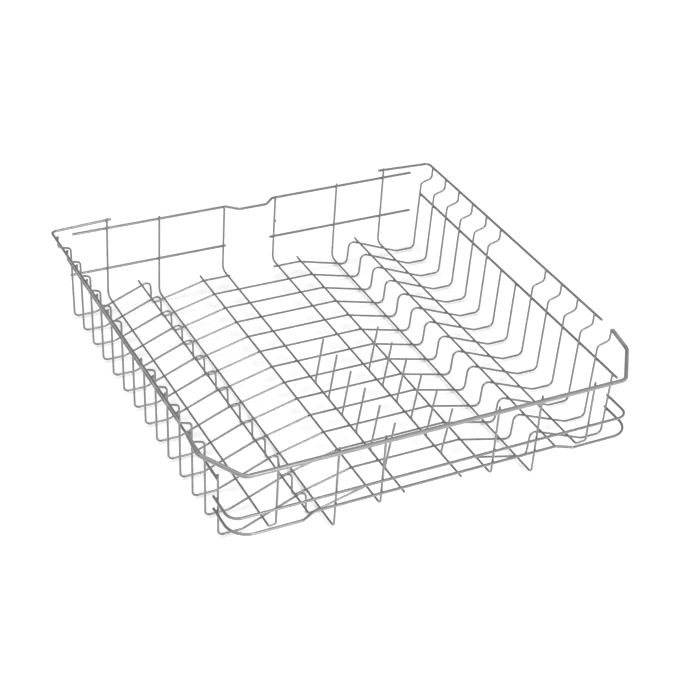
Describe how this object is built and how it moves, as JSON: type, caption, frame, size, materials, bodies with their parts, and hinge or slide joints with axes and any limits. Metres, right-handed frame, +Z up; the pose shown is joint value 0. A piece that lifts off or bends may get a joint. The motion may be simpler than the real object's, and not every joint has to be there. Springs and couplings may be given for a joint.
{
  "type": "dishwasher basket",
  "caption": "Upper dishwasher basket of welded coated wire, with a ridged floor, rows of leaning tines, stepped side walls and a thick bar round the front.",
  "frame": {"origin": "on the ground under the middle of the basket's width and depth", "axes": "+X to the right as seen from the front, +Y to the back, +Z up"},
  "size_m": [0.5308, 0.5218, 0.1268],
  "materials": {
    "wire_coating": "satin",
    "bar_coating": "satin"
  },
  "bodies": {
    "root": {"back_low_wire_left": "wire_coating", "back_low_wire_right": "wire_coating", "back_top_wire": "wire_coating", "cross_wire_01_left": "wire_coating", "cross_wire_01_right": "wire_coating", "cross_wire_02": "wire_coating", "cross_wire_03": "wire_coating", "cross_wire_04": "wire_coating", "cross_wire_05": "wire_coating", "cross_wire_06": "wire_coating", "cross_wire_07": "wire_coating", "cross_wire_08": "wire_coating", "cross_wire_09": "wire_coating", "cross_wire_10": "wire_coating", "cross_wire_11": "wire_coating", "cross_wire_12": "wire_coating", "cross_wire_13": "wire_coating", "cross_wire_14": "wire_coating", "deck_floor_wire_left": "wire_coating", "deck_floor_wire_right": "wire_coating", "foot_floor_wire_left": "wire_coating", "foot_floor_wire_right": "wire_coating", "front_bar": "bar_coating", "front_rail_lower": "wire_coating", "front_rail_upper": "wire_coating", "outer_floor_wire_left": "wire_coating", "outer_floor_wire_right": "wire_coating", "ridge_floor_wire_left": "wire_coating", "ridge_floor_wire_right": "wire_coating", "rim_left": "wire_coating", "rim_right": "wire_coating", "side_wire_left": "wire_coating", "side_wire_right": "wire_coating", "tine_bar_left": "wire_coating", "tine_bar_right": "wire_coating", "tine_left_1": "wire_coating", "tine_left_2": "wire_coating", "tine_left_3": "wire_coating", "tine_left_4": "wire_coating", "tine_left_5": "wire_coating", "tine_left_6": "wire_coating", "tine_right_1": "wire_coating", "tine_right_2": "wire_coating", "tine_right_3": "wire_coating", "tine_right_4": "wire_coating", "tine_right_5": "wire_coating", "tine_right_6": "wire_coating"}
  },
  "joints": []
}
